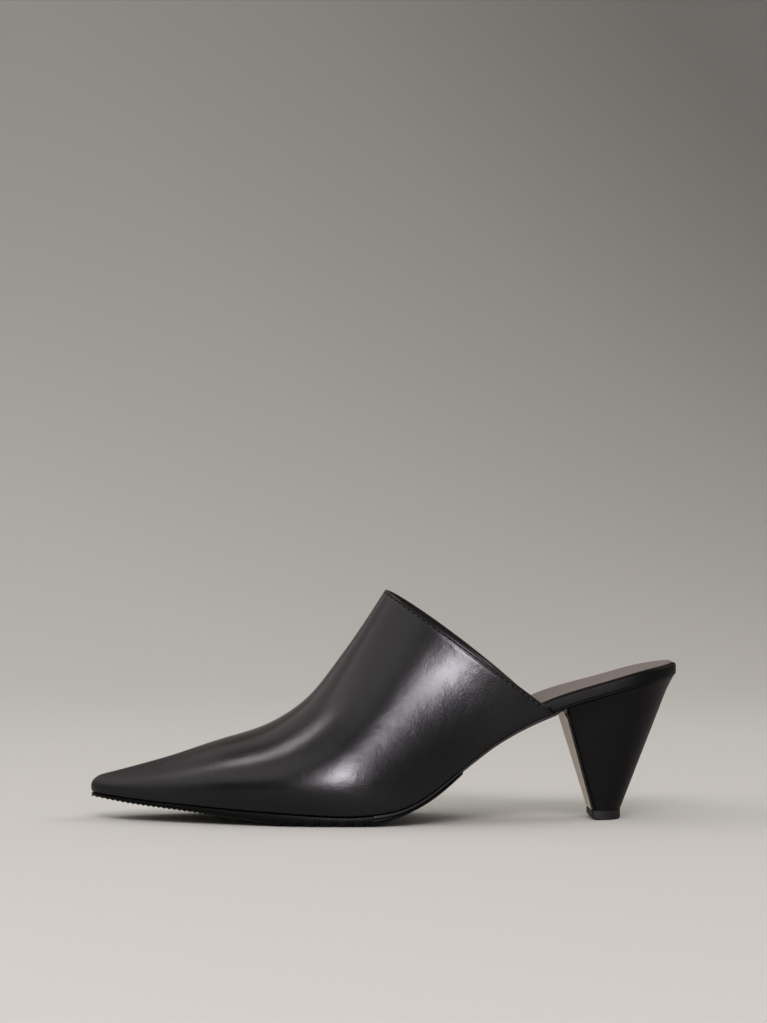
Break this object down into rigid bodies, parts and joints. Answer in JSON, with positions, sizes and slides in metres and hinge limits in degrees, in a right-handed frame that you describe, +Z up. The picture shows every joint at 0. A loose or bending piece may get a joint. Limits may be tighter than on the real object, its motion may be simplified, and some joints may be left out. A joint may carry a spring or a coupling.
{
  "type": "cone heel mule",
  "caption": "Pointed black leather mule for the left foot, open at the back, with a tapered cone heel and a rubber forefoot.",
  "frame": {"origin": "middle of the bounding box, on the floor that the shoe stands on", "axes": "+Z up, toe towards -X, heel towards +X, outer side of the foot towards -Y"},
  "size_m": [0.272, 0.0786, 0.1067],
  "materials": {
    "black_leather": "smooth, fine grain, soft sheen",
    "wrap_leather": "smooth, soft sheen",
    "brown_lining": "matte lining",
    "black_rubber": "matte",
    "taupe_board": "smooth, satin",
    "heel_cover": "smooth, soft sheen",
    "charcoal_rubber": "matte"
  },
  "bodies": {
    "root": {"upper": "black_leather", "insole": "wrap_leather", "sock": "brown_lining", "tread": "black_rubber", "outsole": "taupe_board", "heel": "heel_cover", "top_piece": "charcoal_rubber"}
  },
  "joints": []
}
